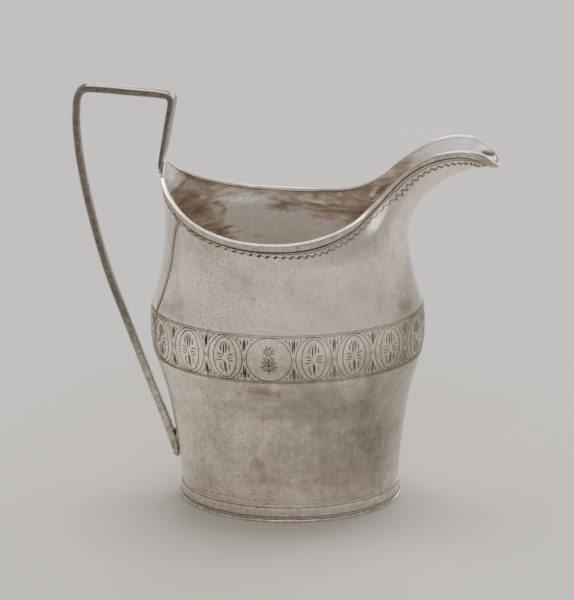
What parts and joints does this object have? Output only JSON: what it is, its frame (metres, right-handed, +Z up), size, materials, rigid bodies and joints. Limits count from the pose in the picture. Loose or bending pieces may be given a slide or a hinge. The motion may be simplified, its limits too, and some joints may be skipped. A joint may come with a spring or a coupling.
{
  "type": "cream jug",
  "caption": "Oval footed cream jug of sheet silver with a high curved pouring spout, an engraved belt, a strip round the lip and a tall squared strap handle.",
  "frame": {"origin": "middle of the oval foot on its underside, on the surface the jug stands on", "axes": "+Z up, +X toward the spout, the handle toward -X, the jug's plane of symmetry at y = 0"},
  "size_m": [0.1256, 0.0578, 0.1308],
  "materials": {
    "silver_sheet": "old silver sheet, softly polished, with fine scratches, pits and warm tarnish",
    "silver_base": "flat silver sheet, dull and scratched from standing",
    "silver_trim": "drawn silver strip, polished bright on its edges",
    "silver_handle": "forged silver rod, worn smooth, tarnished grey brown",
    "solder": "dull coppery silver solder"
  },
  "bodies": {
    "root": {"body": "silver_sheet", "base_plate": "silver_base", "base_seam": "solder", "foot_band": "silver_trim", "lip_strip": "silver_trim", "handle": "silver_handle", "upper_solder": "solder", "lower_solder": "solder"}
  },
  "joints": []
}
